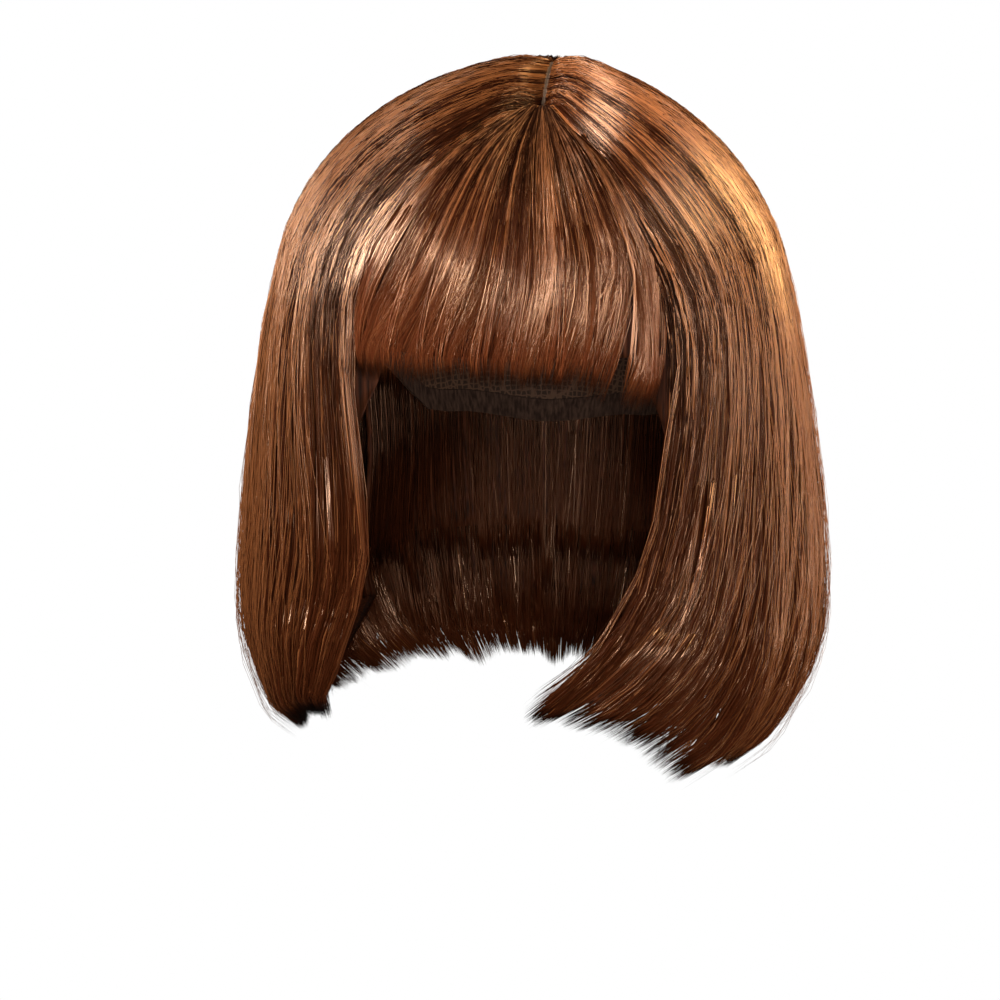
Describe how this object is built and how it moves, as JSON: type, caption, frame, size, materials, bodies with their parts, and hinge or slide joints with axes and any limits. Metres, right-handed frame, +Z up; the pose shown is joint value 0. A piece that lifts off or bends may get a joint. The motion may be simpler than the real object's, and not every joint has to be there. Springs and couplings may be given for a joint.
{
  "type": "bob wig with a fringe",
  "caption": "Straight bob wig with a brow-length fringe, an off-centre parting and tips that curl in, on a net cap.",
  "frame": {"origin": "top of the inside of the cap, where it sits on the crown of the head", "axes": "+Z up, -Y towards the face, +X towards the wearer's left"},
  "size_m": [0.245, 0.226, 0.2821],
  "materials": {
    "hair": "glossy chestnut brown strands with lighter and darker ones mixed in",
    "under_hair": "darker brown strands",
    "net": "matt dark brown net with sewn rows of hair",
    "elastic": "matt ribbed elastic",
    "parting": "matt skin-coloured strip"
  },
  "bodies": {
    "root": {"cap": "net", "edge_band": "elastic", "parting_strip": "parting", "fringe": "hair", "side_hair_left": "hair", "side_hair_right": "hair", "back_hair": "hair", "nape_hair": "under_hair"}
  },
  "joints": []
}
